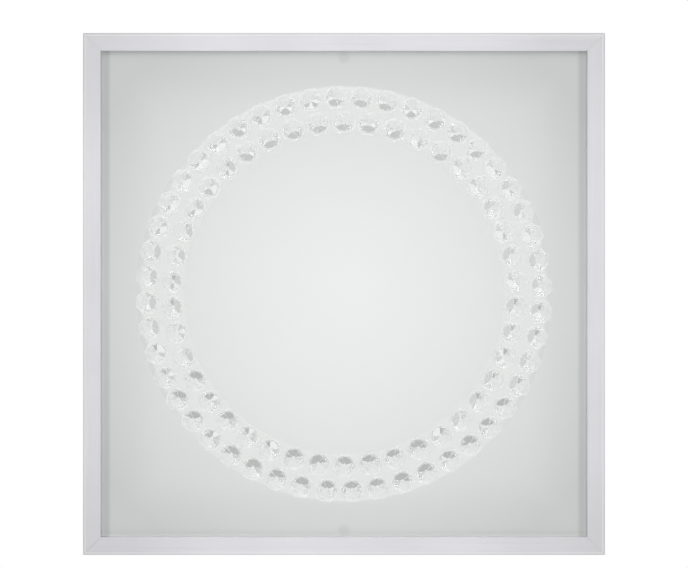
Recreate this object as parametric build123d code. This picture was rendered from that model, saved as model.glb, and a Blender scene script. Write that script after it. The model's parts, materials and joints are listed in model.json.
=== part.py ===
from build123d import *
import math
import os

# Square flush mount ceiling light with a ring of glass crystals.
# Millimetres. +Z points up at the ceiling, which is the plane z = 0, and the light hangs below it.
# The origin is the middle of the mounting plane. Seen from below with +X to the right, -Y is the
# upper edge of the lit face; pieces near it are called front and pieces near +Y are called back.

# Frame of four mitred rails
frame_width = 290.0
rail_height = 52.0
rail_wall = 1.6
rail_face_width = 10.0
rail_face_thickness = 1.8
rail_outer_chamfer = 0.8
rail_lip_chamfer = 0.4
rail_rib_reach = 3.0
rail_rib_thickness = 1.2
ceiling_gap = 4.0
mitre_gap = 0.05

# Corner keys, in the channel between the two ribs of each rail
key_width = 12.0
key_thickness = 2.4
key_leg = 34.0
key_clearance = 0.1
set_screw_radius = 2.0
set_screw_from_end = 9.0
hex_socket_size = 2.0
hex_socket_depth = 1.2

# Glass pane, its gasket and the glazing beads
pane_overlap = 2.5
pane_thickness = 4.0
pane_corner_radius = 1.5
gasket_thickness = 0.8
gasket_width = 2.2
bead_height = 6.0
bead_thickness = 1.2
bead_past_lip = 4.5
bead_end_gap = 1.0

# Crystals: faceted octagons glued in two rows on a clear band
crystal_across_corners = 14.0
crystal_thickness = 6.0
crystal_girdle = 0.8
crystal_table_radius = 3.5
crystal_gap = 1.32
crystal_row_gap = 0.77
crystal_sides = 8
outer_row_radius = 109.0
outer_row_start = 5.1
inner_row_start = 4.2
band_thickness = 0.6
band_margin = 0.2

# Turn clips that lock the pane
clip_side_clearance = 0.35
clip_thickness = 1.0
clip_past_lip = 5.0
clip_over_glass = 0.2
clip_over_block = 0.1
clip_block_length = 22.0
clip_block_clearance = 0.25
clip_screw_radius = 1.5
clip_screw_head_clearance = 0.55
clip_screw_head_height = 1.4
block_screw_radius = 1.0
block_screw_spacing = 14.0
block_screw_bite = 1.0
block_screw_head_radius = 1.9
block_screw_head_height = 0.9
block_screw_sink = 0.2

# Base pan
pan_sheet = 1.2
pan_depth = 23.0
pan_corner_radius = 6.0
pan_bend_radius = 1.6
pan_to_rail = 5.4
slot_width = 5.4
slot_length = 18.0
slot_inset = 21.8
slot_spacing_y = 150.0
swage_inset = 44.0
swage_width = 6.0
swage_depth = 1.5
swage_corner_radius = 14.0

# Cable entry
entry_offset_x = -56.0
entry_dimple_radius = 14.0
entry_dimple_depth = 2.5
entry_hole_radius = 8.0
grommet_flange_radius = 10.5
grommet_flange_thickness = 1.6
grommet_bore_radius = 4.0

# Spring clips that hold the cover
spring_width = 12.0
spring_thickness = 0.5
spring_drop = 3.4
spring_foot = 6.0
spring_arm = 5.0
spring_crest = 2.4
spring_tail = 4.0
spring_tail_lift = 1.6
spring_clearance = 0.2
spring_spacing = 150.0
rivet_radius = 1.5
rivet_head_radius = 2.8
rivet_head_height = 0.8

# Terminal block
pole_count = 3
pole_pitch = 9.0
block_width = 17.0
block_height = 15.0
block_base_height = 6.0
block_ear = 7.0
pole_tower_width = 8.0
pole_tower_fillet = 1.5
tube_radius = 2.5
tube_bore_radius = 1.6
tube_length = 14.0
tube_axis_height = 7.5
clamp_screw_radius = 1.4
clamp_screw_spacing = 7.0
clamp_screw_length = 4.5
clamp_well_radius = 1.9

# Earth connection
earth_gap = 2.6
earth_stud_radius = 2.0
earth_stud_length = 9.0
earth_washer_radius = 4.4
earth_washer_thickness = 0.8
earth_nut_size = 7.0
earth_nut_height = 3.2
lug_thickness = 0.8
lug_barrel_radius = 2.0
lug_barrel_length = 7.0
lug_neck = 1.0

# Driver
driver_length = 84.0
driver_width = 40.0
driver_height = 21.0
driver_wall = 1.6
driver_ear = 8.0
driver_base_thickness = 1.8
driver_corner_radius = 2.5
driver_offset_y = 4.0
driver_port_width = 14.0
driver_port_height = 5.0
circuit_end_gap = 3.4
circuit_side_gap = 2.4
circuit_thickness = 1.6
circuit_post_height = 2.6
circuit_post_radius = 2.5
transformer_size = (17.0, 19.0)
component_headroom = 2.4
capacitor_radius = 4.0
capacitor_rim = 0.5
component_spacing = 15.0
terminal_size = (13.0, 7.5, 8.5)
terminal_port_depth = 5.0

# Reflector tray and the pillars that carry it
tray_clearance = 4.0
tray_margin = 41.8
tray_sheet = 1.0
tray_rim = 6.0
tray_corner_radius = 5.0
pillar_size = 7.0
pillar_inset = 17.0
pillar_stem_radius = 2.4
pillar_thread_radius = 1.45
pillar_thread_depth = 8.0
tray_hole_radius = 5.0
tray_hole_inset = 8.0
tray_grommet_flange = 1.6
tray_grommet_lip = 1.2

# LED board
board_margin = 21.0
board_thickness = 1.6
board_corner_radius = 4.0
board_screw_inset = 6.0
led_rows = 6
led_edge = 13.0
led_size = (2.8, 3.5, 0.7)
connector_size = (11.0, 7.0, 4.6)
connector_port_radius = 1.0
connector_port_depth = 3.0
connector_inset = 1.5

# Screws of the base and the running clearance in every hole
screw_radius = 1.5
screw_head_radius = 2.8
screw_head_height = 1.8
screw_bite = 6.0
screw_head_rounding = 0.8
cross_slot_length = 3.2
cross_slot_width = 0.8
cross_slot_depth = 0.9
hole_clearance = 0.05

# Wires
mains_wire_radius = 1.1
led_wire_radius = 0.8
led_wire_spacing = 4.0
mains_wire_spacing = 5.6
wire_drop = 12.0
mains_wire_straight = 16.0
mains_wire_bend = 20.0
earth_loop = 9.0
earth_wire_bend = 4.5
wire_insertion = 4.0
led_wire_bend = 4.0

# Levels and half widths that follow from the sizes above
frame_half = frame_width / 2
face_z = -(ceiling_gap + rail_height)
lip_z = face_z + rail_face_thickness
pane_front_z = lip_z + gasket_thickness
pane_back_z = pane_front_z + pane_thickness
wall_inside = frame_half - rail_wall
opening_half = frame_half - rail_face_width
pane_half = opening_half + pane_overlap
lower_rib_z = pane_back_z + bead_height
channel_z = lower_rib_z + rail_rib_thickness
upper_rib_z = channel_z + key_width + 2 * key_clearance

pan_half = wall_inside - pan_to_rail
pan_inside = pan_half - pan_sheet
slot_x = pan_inside - slot_inset
swage_half = pan_inside - swage_inset
tray_half = pan_inside - tray_margin
wiring_y = (tray_half + pan_inside) / 2
block_half = (pole_count - 1) / 2 * pole_pitch + pole_tower_width / 2 + block_ear
earth_x = block_half + earth_gap + earth_washer_radius

tray_z = -(pan_sheet + driver_height + tray_clearance)
board_z = tray_z - tray_sheet
board_face_z = board_z - board_thickness
board_half = tray_half - board_margin
pillar_at = tray_half - pillar_inset
board_screw_at = board_half - board_screw_inset
tray_hole_y = -(tray_half - tray_hole_inset)

across_flats = crystal_across_corners * math.cos(math.pi / crystal_sides)
crystal_pitch = across_flats + crystal_gap
inner_row_radius = outer_row_radius - across_flats - crystal_row_gap


def save(name, *shapes):
    """Write one named piece; identical pieces of one name stay separate solids."""
    solids = [solid for shape in shapes for solid in shape.solids()]
    whole = solids[0] if len(solids) == 1 else Compound(children=solids)
    export_step(whole, f"parts/{name}.step")


def disc(radius, top, height):
    """Upright cylinder that reaches down from the level top."""
    return Pos(0, 0, top - height / 2) * Cylinder(radius, height)


def slab(size_x, size_y, top, height):
    """Upright box centred on the origin that reaches down from the level top."""
    return Pos(0, 0, top - height / 2) * Box(size_x, size_y, height)


def rounded_slab(half_x, half_y, radius, top, height):
    """Slab with its four upright edges rounded."""
    outline = RectangleRounded(2 * half_x, 2 * half_y, radius)
    return Pos(0, 0, top - height) * extrude(outline, height)


def hexagon(across, top, height):
    """Upright hexagonal prism, measured across its flats, reaching down from the level top."""
    return Pos(0, 0, top - height) * extrude(RegularPolygon(across / 2, 6, major_radius=False), height)


def four_corners(at_x, at_y):
    """The four points at plus and minus the two distances."""
    return [Pos(x, y) for x in (-at_x, at_x) for y in (-at_y, at_y)]


def cross_slot(top):
    """Cross recess that is cut upward into a head whose lowest face is at the level top."""
    blade = Box(cross_slot_length, cross_slot_width, 2 * cross_slot_depth)
    return Pos(0, 0, top) * (blade + Rot(0, 0, 90) * blade)


def pan_head_screw(seat, length):
    """Screw whose head hangs below the level seat and whose shank reaches up from it."""
    head = disc(screw_head_radius, seat, screw_head_height)
    rim = head.faces().sort_by(Axis.Z)[0].edges()
    head = fillet(rim, screw_head_rounding)
    shank = disc(screw_radius, seat + length, length)
    return head + shank - cross_slot(seat - screw_head_height)


# Frame

def rail_section():
    """Outline of a rail: a tall wall, a face lip at its foot and two ribs that hold the corner keys."""
    wall, lip, rib = rail_wall, rail_face_thickness, rail_wall + rail_rib_reach
    ribs = []
    for level in (lower_rib_z - face_z, upper_rib_z - face_z):
        top = level + rail_rib_thickness
        ribs += [(wall, level), (rib, level), (rib, top), (wall, top)]
    points = [(rail_outer_chamfer, 0), (rail_face_width - rail_lip_chamfer, 0), (rail_face_width, rail_lip_chamfer),
              (rail_face_width, lip), (wall, lip)]
    points += ribs + [(wall, rail_height), (0, rail_height), (0, rail_outer_chamfer)]
    return Polyline(*points, close=True)


def frame_rail(quarter_turns):
    """Rail along the -Y side, cut to its mitres and turned about Z into its place."""
    start = Plane(origin=(-frame_half, -frame_half, face_z), x_dir=(0, 1, 0), z_dir=(1, 0, 0))
    bar = extrude(start * make_face(rail_section()), frame_width)
    depth = frame_half - rail_wall - rail_rib_reach - rail_face_width
    long_half = frame_half - mitre_gap
    short_half = depth - mitre_gap
    wedge = make_face(Polyline((-long_half, -frame_half), (long_half, -frame_half),
                               (short_half, -depth), (-short_half, -depth), close=True))
    mitred = bar & (Pos(0, 0, face_z) * extrude(wedge, rail_height))
    return Rot(0, 0, 90 * quarter_turns) * mitred


def corner_key():
    """Angle plate in the +X +Y corner of the frame, between the ribs of the two rails."""
    bottom = channel_z + key_clearance
    outer, inner = wall_inside, wall_inside - key_thickness
    end = wall_inside - key_leg
    outline = make_face(Polyline((outer, end), (outer, outer), (end, outer), (end, inner),
                                 (inner, inner), (inner, end), close=True))
    key = Pos(0, 0, bottom) * extrude(outline, key_width)
    for place in key_screw_places():
        key -= place * Cylinder(set_screw_radius + hole_clearance, 4 * key_thickness)
    return key


def key_screw_places():
    """Axes of the two set screws of the +X +Y corner key, each at the key's middle height."""
    level = channel_z + key_clearance + key_width / 2
    at = wall_inside - key_leg + set_screw_from_end
    middle = wall_inside - key_thickness / 2
    return [Pos(middle, at, level) * Rot(0, 90, 0), Pos(at, middle, level) * Rot(-90, 0, 0)]


def set_screws():
    """Headless screws that bear on the rails through the corner key."""
    screw = Cylinder(set_screw_radius, key_thickness)
    socket = Pos(0, 0, -key_thickness / 2) * extrude(RegularPolygon(hex_socket_size / 2, 6), hex_socket_depth)
    return [place * (screw - socket) for place in key_screw_places()]


# Glass, gasket and glazing beads

def glass_pane():
    return rounded_slab(pane_half, pane_half, pane_corner_radius, pane_back_z, pane_thickness)


def glass_gasket():
    """Flat ring between the pane and the rails' lips."""
    outer = rounded_slab(pane_half, pane_half, pane_corner_radius, pane_front_z, gasket_thickness)
    inside = pane_half - gasket_width
    return outer - slab(2 * inside, 2 * inside, pane_front_z, gasket_thickness)


def glazing_bead(side):
    """Angle strip wedged between the pane's back and the rail's lower rib on the left or right side."""
    length = 2 * (wall_inside - bead_end_gap)
    foot_end = opening_half - bead_past_lip
    back = wall_inside - bead_thickness
    foot_z = pane_back_z + bead_thickness
    outline = Polyline((wall_inside, pane_back_z), (wall_inside, lower_rib_z), (back, lower_rib_z),
                       (back, foot_z), (foot_end, foot_z), (foot_end, pane_back_z), close=True)
    start = Plane(origin=(0, length / 2, 0), x_dir=(1, 0, 0), z_dir=(0, -1, 0))
    strip = extrude(start * make_face(outline), length)
    return strip if side > 0 else Rot(0, 0, 180) * strip


# Crystals

def corner_ring(radius, level, turn):
    """Corners of a regular polygon at a level, its first corner turned from +X by turn steps."""
    step = 2 * math.pi / crystal_sides
    angles = [step * (i + turn) for i in range(crystal_sides)]
    return [(radius * math.cos(a), radius * math.sin(a), level) for a in angles]


def facets_between(lower, upper):
    """Triangles between two rings of which the upper one stands half a step ahead."""
    facets = []
    for i in range(crystal_sides):
        ahead = (i + 1) % crystal_sides
        facets.append([lower[i], lower[ahead], upper[i]])
        facets.append([lower[ahead], upper[ahead], upper[i]])
    return facets


def crystal():
    """Octagonal glass bead with a flat side towards +X and the same cut on both faces, centred on its girdle."""
    girdle = crystal_across_corners / 2
    edge, face = crystal_girdle / 2, crystal_thickness / 2
    upper_girdle, lower_girdle = corner_ring(girdle, edge, 0.5), corner_ring(girdle, -edge, 0.5)
    upper_table, lower_table = corner_ring(crystal_table_radius, face, 1), corner_ring(crystal_table_radius, -face, 1)
    polygons = [upper_table, lower_table[::-1]]
    polygons += facets_between(upper_girdle, upper_table)
    polygons += [facet[::-1] for facet in facets_between(lower_girdle, lower_table)]
    for i in range(crystal_sides):
        ahead = (i + 1) % crystal_sides
        polygons.append([lower_girdle[i], lower_girdle[ahead], upper_girdle[ahead], upper_girdle[i]])
    return Solid(Shell([Face(Wire.make_polygon(points, close=True)) for points in polygons]))


def crystal_row(radius, start):
    """As many crystals as fit side by side round a circle from an angle, their back tables on the band."""
    count = int(2 * math.pi * radius / crystal_pitch)
    level = pane_front_z - band_thickness - crystal_thickness / 2
    bead = crystal()
    return [Rot(0, 0, start + 360 * i / count) * Pos(radius, 0, level) * bead for i in range(count)]


def crystal_band():
    """Thin clear ring on the pane's front that the crystals are glued to."""
    outer = outer_row_radius + across_flats / 2 + band_margin
    inner = inner_row_radius - across_flats / 2 - band_margin
    return disc(outer, pane_front_z, band_thickness) - disc(inner, pane_front_z, band_thickness)


# Turn clips, built at the -Y side

clip_zone = wall_inside - pane_half
clip_width = clip_zone - 2 * clip_side_clearance
clip_screw_head_radius = clip_zone / 2 - clip_screw_head_clearance
clip_y = -(pane_half + clip_zone / 2)
clip_z = pane_back_z + clip_over_glass
clip_block_top = clip_z - clip_over_block
block_screw_seat = clip_block_top - block_screw_sink - block_screw_head_height


def clip_block():
    """Block beside the pane's edge that carries a turn clip."""
    width = clip_zone - 2 * clip_block_clearance
    block = Pos(0, clip_y) * slab(clip_block_length, width, clip_block_top, clip_block_top - lip_z)
    block -= Pos(0, clip_y) * disc(clip_screw_radius + hole_clearance, clip_block_top, clip_block_top - lip_z)
    for side in (-1, 1):
        hole = disc(block_screw_radius + hole_clearance, clip_block_top, clip_block_top - lip_z)
        well = disc(block_screw_head_radius + hole_clearance, clip_block_top, clip_block_top - block_screw_seat)
        block -= Pos(side * block_screw_spacing / 2, clip_y) * (hole + well)
    return block


def block_screws():
    """Two screws, their heads sunk below the clip, that go down through the block into the rail's lip."""
    screw = disc(block_screw_radius, block_screw_seat, block_screw_seat - lip_z + block_screw_bite)
    screw += disc(block_screw_head_radius, block_screw_seat + block_screw_head_height, block_screw_head_height)
    return [Pos(side * block_screw_spacing / 2, clip_y) * screw for side in (-1, 1)]


def block_screw_holes():
    """Blind holes in the front rail's lip for the block screws."""
    depth = block_screw_bite
    return [Pos(side * block_screw_spacing / 2, clip_y) * disc(block_screw_radius + hole_clearance, lip_z, depth)
            for side in (-1, 1)]


def turn_clip():
    """Tongue that reaches from its pivot over the pane's edge, just past the frame's lip."""
    tip_y = -(opening_half - clip_past_lip)
    length = tip_y - clip_y
    tongue = Pos(0, clip_y + length / 2) * slab(clip_width, length, clip_z + clip_thickness, clip_thickness)
    tongue += Pos(0, clip_y) * disc(clip_width / 2, clip_z + clip_thickness, clip_thickness)
    return tongue - Pos(0, clip_y) * disc(clip_screw_radius + hole_clearance, clip_z + clip_thickness, clip_thickness)


def clip_screw():
    """Pivot screw of a turn clip, with its head just above the clip."""
    seat = clip_z + clip_thickness + clip_over_block
    length = seat - lip_z
    screw = disc(clip_screw_radius, seat, length)
    screw += disc(clip_screw_head_radius, seat + clip_screw_head_height, clip_screw_head_height)
    slot = Box(2 * clip_screw_head_radius, cross_slot_width, 2 * cross_slot_depth)
    return Pos(0, clip_y) * (screw - Pos(0, 0, seat + clip_screw_head_height) * slot)


def half_turn(shape):
    """The same piece on the opposite side of the light."""
    return Rot(0, 0, 180) * shape


# Base pan

def pressed(plate, outer, inner, depth):
    """Press a shape down into the pan's plate: a boss below it and a pocket above."""
    boss = Pos(0, 0, -depth - pan_sheet) * extrude(outer, depth + pan_sheet)
    pocket = Pos(0, 0, -depth) * extrude(inner, depth)
    return plate + boss - pocket


def square_ring(half, width):
    """Flat square ring with rounded corners, half wide to the middle of its band."""
    outer, inner = half + width / 2, half - width / 2
    return (RectangleRounded(2 * outer, 2 * outer, swage_corner_radius + width / 2)
            - RectangleRounded(2 * inner, 2 * inner, swage_corner_radius - width / 2))


def base_pan():
    """Square steel tray with its open side down and everything that is pressed, drilled or slotted in it."""
    outer = rounded_slab(pan_half, pan_half, pan_corner_radius, 0, pan_depth)
    outer = fillet(outer.faces().sort_by(Axis.Z)[-1].edges(), pan_bend_radius)
    pan = outer - rounded_slab(pan_inside, pan_inside, pan_corner_radius - pan_sheet, -pan_sheet, pan_depth)
    pan = pressed(pan, square_ring(swage_half, swage_width),
                  square_ring(swage_half, swage_width - 2 * pan_sheet), swage_depth)
    at_entry = Pos(entry_offset_x, wiring_y)
    pan = pressed(pan, at_entry * Circle(entry_dimple_radius),
                  at_entry * Circle(entry_dimple_radius - pan_sheet), entry_dimple_depth)
    pan -= at_entry * Pos(0, 0, -entry_dimple_depth) * disc(entry_hole_radius, 0, pan_sheet)
    for place in four_corners(slot_x, slot_spacing_y / 2):
        pan -= place * Pos(0, 0, -pan_sheet) * extrude(SlotOverall(slot_length, slot_width), pan_sheet)
    pan -= [place * disc(pillar_stem_radius, 0, pan_sheet) for place in pillar_places()]
    sheet_holes = driver_screw_places() + block_screw_places()
    pan -= [place * disc(screw_radius + hole_clearance, 0, pan_sheet) for place in sheet_holes]
    pan -= earth_place() * disc(earth_stud_radius, 0, pan_sheet)
    pan -= [hole for side in (0, 2) for hole in rivet_holes(side)]
    return pan


def cable_grommet():
    """Rubber grommet round the edge of the cable entry."""
    top = grommet_flange_thickness - entry_dimple_depth
    length = pan_sheet + 2 * grommet_flange_thickness
    body = disc(grommet_flange_radius, top, grommet_flange_thickness)
    body += disc(grommet_flange_radius, -entry_dimple_depth - pan_sheet, grommet_flange_thickness)
    body += disc(entry_hole_radius, top, length)
    return Pos(entry_offset_x, wiring_y) * (body - disc(grommet_bore_radius, top, length))


# Spring clips

def spring_strip():
    """Leaf spring on the pan's +X wall at y = 0: a riveted foot, a crest that bears on the rail and a tail."""
    reach = pan_to_rail - spring_clearance
    levels = [-spring_drop]
    for step in (spring_foot, spring_arm, spring_crest, spring_tail):
        levels.append(levels[-1] - step)
    inner = [(0, levels[0]), (0, levels[1]), (reach - spring_thickness, levels[2]),
             (reach - spring_thickness, levels[3]), (spring_tail_lift, levels[4])]
    outer = [(x + spring_thickness, z) for x, z in inner]
    outline = make_face(Polyline(*inner, *outer[::-1], close=True))
    start = Plane(origin=(pan_half, spring_width / 2, 0), x_dir=(1, 0, 0), z_dir=(0, -1, 0))
    strip = extrude(start * outline, spring_width)
    return strip - rivet_axis() * Cylinder(rivet_radius + hole_clearance, 4 * pan_sheet)


def rivet_axis():
    """Axis of the rivet in the middle of the spring's foot, through the pan's +X wall at y = 0."""
    return Pos(pan_half, 0, -spring_drop - spring_foot / 2) * Rot(0, 90, 0)


def rivet():
    """Rivet through the spring's foot and the pan's wall, with a low head on each side."""
    outside, inside = spring_thickness, -pan_sheet
    shank = Pos(0, 0, (outside + inside) / 2) * Cylinder(rivet_radius, outside - inside)
    for level, way in ((outside, 1), (inside, -1)):
        shank += Pos(0, 0, level + way * rivet_head_height / 2) * Cylinder(rivet_head_radius, rivet_head_height)
    return rivet_axis() * shank


def on_both_walls(shape):
    """Copies of a piece of the +X wall at the four places of the spring clips."""
    shift = spring_spacing / 2
    return [Rot(0, 0, turn) * Pos(0, y) * shape for turn in (0, 180) for y in (-shift, shift)]


def rivet_holes(quarter_turns):
    """Holes for the rivets in the wall that is turned from +X by quarter turns."""
    hole = rivet_axis() * Cylinder(rivet_radius + hole_clearance, 4 * pan_sheet)
    return [Rot(0, 0, 90 * quarter_turns) * Pos(0, y) * hole for y in (-spring_spacing / 2, spring_spacing / 2)]


# Terminal block and earth

def pole_places():
    """Middles of the terminal block's poles."""
    first = -(pole_count - 1) / 2
    return [Pos((first + i) * pole_pitch, wiring_y) for i in range(pole_count)]


def block_screw_places():
    """The two fixing screws, in the ears of the block's base."""
    at = block_half - block_ear / 2
    return [Pos(side * at, wiring_y) for side in (-1, 1)]


def tube_level():
    """Height of the axis of the brass tubes."""
    return -pan_sheet - tube_axis_height


def terminal_block():
    """Moulded block: a base and one tower a pole, bored for the tubes and their screws."""
    block = Pos(0, wiring_y) * slab(2 * block_half, block_width, -pan_sheet, block_base_height)
    for place in pole_places():
        tower = slab(pole_tower_width, block_width, -pan_sheet, block_height)
        tower = fillet(tower.faces().sort_by(Axis.Z)[0].edges().filter_by(Axis.Y), pole_tower_fillet)
        block += place * tower
    for place in pole_places():
        block -= place * Pos(0, 0, tube_level()) * Rot(90, 0, 0) * Cylinder(tube_radius + hole_clearance, block_width)
        for y in (-clamp_screw_spacing / 2, clamp_screw_spacing / 2):
            depth = block_height + pan_sheet + tube_level()
            block -= place * Pos(0, y) * disc(clamp_well_radius, tube_level(), depth)
    for place in block_screw_places():
        block -= place * disc(screw_radius + hole_clearance, -pan_sheet, block_base_height)
    return block


def terminal_tubes():
    """Brass tubes that join the supply wires to the light's own wires."""
    tube = Rot(90, 0, 0) * (Cylinder(tube_radius, tube_length) - Cylinder(tube_bore_radius, tube_length))
    for y in (-clamp_screw_spacing / 2, clamp_screw_spacing / 2):
        tube -= Pos(0, y) * disc(clamp_screw_radius + hole_clearance, 0, 2 * tube_radius)
    return [place * Pos(0, 0, tube_level()) * tube for place in pole_places()]


def clamp_screws():
    """Slotted screws in the wells, each with its tip on the wire in the tube."""
    tip = tube_level() - mains_wire_radius - hole_clearance
    screw = disc(clamp_screw_radius, tip, clamp_screw_length)
    screw -= Pos(0, 0, tip - clamp_screw_length) * Box(2 * clamp_screw_radius, cross_slot_width, cross_slot_depth)
    return [place * Pos(0, y) * screw for place in pole_places()
            for y in (-clamp_screw_spacing / 2, clamp_screw_spacing / 2)]


def earth_place():
    return Pos(earth_x, wiring_y)


def earth_stud():
    """Stud pressed into the pan, its foot level with the pan's back."""
    return earth_place() * disc(earth_stud_radius, 0, pan_sheet + earth_stud_length)


def earth_washer():
    ring = disc(earth_washer_radius, -pan_sheet, earth_washer_thickness)
    return earth_place() * (ring - disc(earth_stud_radius + hole_clearance, -pan_sheet, earth_washer_thickness))


def earth_terminal():
    """Ring terminal on the stud, with its barrel towards the middle of the light."""
    top = -pan_sheet - earth_washer_thickness
    end = earth_washer_radius + lug_neck + lug_barrel_length
    lug = disc(earth_washer_radius, top, lug_thickness)
    lug += Pos(0, -end / 2) * slab(2 * lug_barrel_radius, end, top, lug_thickness)
    barrel_place = Pos(0, lug_barrel_length / 2 - end, top - lug_barrel_radius) * Rot(90, 0, 0)
    lug += barrel_place * Cylinder(lug_barrel_radius, lug_barrel_length)
    lug -= barrel_place * Cylinder(mains_wire_radius + hole_clearance, lug_barrel_length)
    return earth_place() * (lug - disc(earth_stud_radius + hole_clearance, top, lug_thickness))


def earth_nut():
    top = -pan_sheet - earth_washer_thickness - lug_thickness
    nut = hexagon(earth_nut_size, top, earth_nut_height)
    return earth_place() * (nut - disc(earth_stud_radius + hole_clearance, top, earth_nut_height))


# Driver, along Y

driver_top = -pan_sheet
driver_half = driver_length / 2
driver_place = Pos(0, driver_offset_y)
driver_floor = driver_top - driver_base_thickness
circuit_z = driver_floor - circuit_post_height
circuit_face_z = circuit_z - circuit_thickness
circuit_length = driver_length - 2 * (driver_wall + circuit_end_gap)
circuit_width = driver_width - 2 * (driver_wall + circuit_side_gap)
component_height = driver_height - (driver_top - circuit_face_z) - driver_wall - component_headroom


def driver_screw_places():
    """The two screws in the ears of the driver's base."""
    at = driver_half + driver_ear / 2
    return [Pos(0, driver_offset_y + side * at) for side in (-1, 1)]


def driver_base():
    """Base plate with an ear at each end and four posts for the circuit board."""
    plate = slab(driver_width, driver_length, driver_top, driver_base_thickness)
    ears = rounded_slab(driver_width / 4, driver_half + driver_ear, driver_corner_radius,
                        driver_top, driver_base_thickness)
    base = plate + ears
    for place in circuit_corners():
        base += place * disc(circuit_post_radius, driver_floor, circuit_post_height)
    base = driver_place * base
    for place in driver_screw_places():
        base -= place * disc(screw_radius + hole_clearance, driver_top, driver_base_thickness)
    return base


def circuit_corners():
    return four_corners(circuit_width / 2 - circuit_post_radius, circuit_length / 2 - circuit_post_radius)


def driver_case():
    """Lid of the driver: a box over the base with a port for the wires in each end."""
    height = driver_height - driver_base_thickness
    case = rounded_slab(driver_width / 2, driver_half, driver_corner_radius, driver_floor, height)
    case = fillet(case.faces().sort_by(Axis.Z)[0].edges(), driver_wall / 2)
    case -= rounded_slab(driver_width / 2 - driver_wall, driver_half - driver_wall, driver_corner_radius - driver_wall / 2,
                         driver_floor, height - driver_wall)
    port = Box(driver_port_width, 2 * driver_length, driver_port_height)
    return driver_place * (case - Pos(0, 0, -wire_drop) * port)


def driver_circuit():
    return driver_place * slab(circuit_width, circuit_length, circuit_z, circuit_thickness)


def driver_transformer():
    return driver_place * slab(*transformer_size, circuit_face_z, component_height)


def driver_capacitors():
    """Two upright capacitors, one on each side of the transformer."""
    can = disc(capacitor_radius, circuit_face_z, component_height)
    can = fillet(can.faces().sort_by(Axis.Z)[0].edges(), capacitor_rim)
    places = [Pos(side * circuit_width / 4, side * component_spacing) for side in (-1, 1)]
    return [driver_place * place * can for place in places]


def driver_terminal(side, spacing, radius):
    """Terminal at one end of the circuit board with two ports for wires of a radius."""
    width, length, height = terminal_size
    end = circuit_length / 2
    block = Pos(0, end - length / 2) * slab(width, length, circuit_face_z, height)
    for x in (-spacing / 2, spacing / 2):
        port = Cylinder(radius + 2 * hole_clearance, 2 * terminal_port_depth)
        block -= Pos(x, end, -wire_drop) * Rot(90, 0, 0) * port
    return driver_place * (block if side > 0 else half_turn(block))


def driver_screws():
    """Screws through the ears into the pan, their tips level with its back."""
    screw = pan_head_screw(driver_floor, driver_base_thickness + pan_sheet)
    return [place * screw for place in driver_screw_places()]


# Reflector tray and LED board

def pillar_places():
    return four_corners(pillar_at, pillar_at)


def tray_pillars():
    """Hexagonal pillars clinched into the pan and tapped at their lower ends."""
    pillar = hexagon(pillar_size, -pan_sheet, -tray_z - pan_sheet) + disc(pillar_stem_radius, 0, pan_sheet)
    pillar -= disc(pillar_thread_radius + 2 * hole_clearance, tray_z + pillar_thread_depth, pillar_thread_depth)
    return [place * pillar for place in pillar_places()]


def reflector_tray():
    """White sheet with a rim turned up towards the ceiling; it hides the driver and carries the LED board."""
    rim = rounded_slab(tray_half, tray_half, tray_corner_radius, tray_z + tray_rim, tray_rim + tray_sheet)
    inside = tray_half - tray_sheet
    tray = rim - rounded_slab(inside, inside, tray_corner_radius - tray_sheet, tray_z + tray_rim, tray_rim)
    holes = pillar_places() + four_corners(board_screw_at, board_screw_at)
    tray -= [place * disc(screw_radius + hole_clearance, tray_z, tray_sheet) for place in holes]
    return tray - Pos(0, tray_hole_y) * disc(tray_hole_radius, tray_z, tray_sheet)


def tray_screws():
    screw = pan_head_screw(board_z, tray_sheet + screw_bite)
    return [place * screw for place in pillar_places()]


def tray_grommet():
    """Rubber ring in the tray's hole for the leads."""
    top = tray_z + tray_grommet_lip
    length = tray_sheet + 2 * tray_grommet_lip
    flange = tray_hole_radius + tray_grommet_flange
    ring = disc(flange, top, tray_grommet_lip) + disc(flange, board_z, tray_grommet_lip)
    ring += disc(tray_hole_radius, top, length)
    bore = tray_hole_radius - tray_grommet_flange
    return Pos(0, tray_hole_y) * (ring - disc(bore, top, length))


def led_board():
    board = rounded_slab(board_half, board_half, board_corner_radius, board_z, board_thickness)
    holes = four_corners(board_screw_at, board_screw_at)
    return board - [place * disc(screw_radius + hole_clearance, board_z, board_thickness) for place in holes]


def board_screws():
    screw = pan_head_screw(board_face_z, board_thickness + tray_sheet)
    return [place * screw for place in four_corners(board_screw_at, board_screw_at)]


def leds():
    """Square array of LEDs on the face of the board."""
    reach = board_half - led_edge
    pitch = 2 * reach / (led_rows - 1)
    width, length, height = led_size
    led = slab(width, length, board_face_z, height)
    steps = [-reach + i * pitch for i in range(led_rows)]
    return [Pos(x, y) * led for x in steps for y in steps]


def led_connector():
    """Two way connector at the board's edge nearest the tray's hole."""
    width, length, height = connector_size
    body = Pos(0, connector_y() + length / 2) * slab(width, length, board_face_z, height)
    for x in led_wire_rows():
        body -= Pos(x, connector_y(), connector_z()) * Rot(90, 0, 0) * Cylinder(
            connector_port_radius, 2 * connector_port_depth)
    return body


def connector_y():
    return connector_inset - board_half


def connector_z():
    return board_face_z - connector_size[2] / 2


# Wires

def led_wire_rows():
    return (-led_wire_spacing / 2, led_wire_spacing / 2)


def wire(points, radii, radius):
    """Round wire of straight runs joined by tangent arcs."""
    path = FilletPolyline(*points, radius=radii)
    start = Plane(origin=path @ 0, z_dir=path % 0)
    return sweep(start * Circle(radius), path=path)


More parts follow.
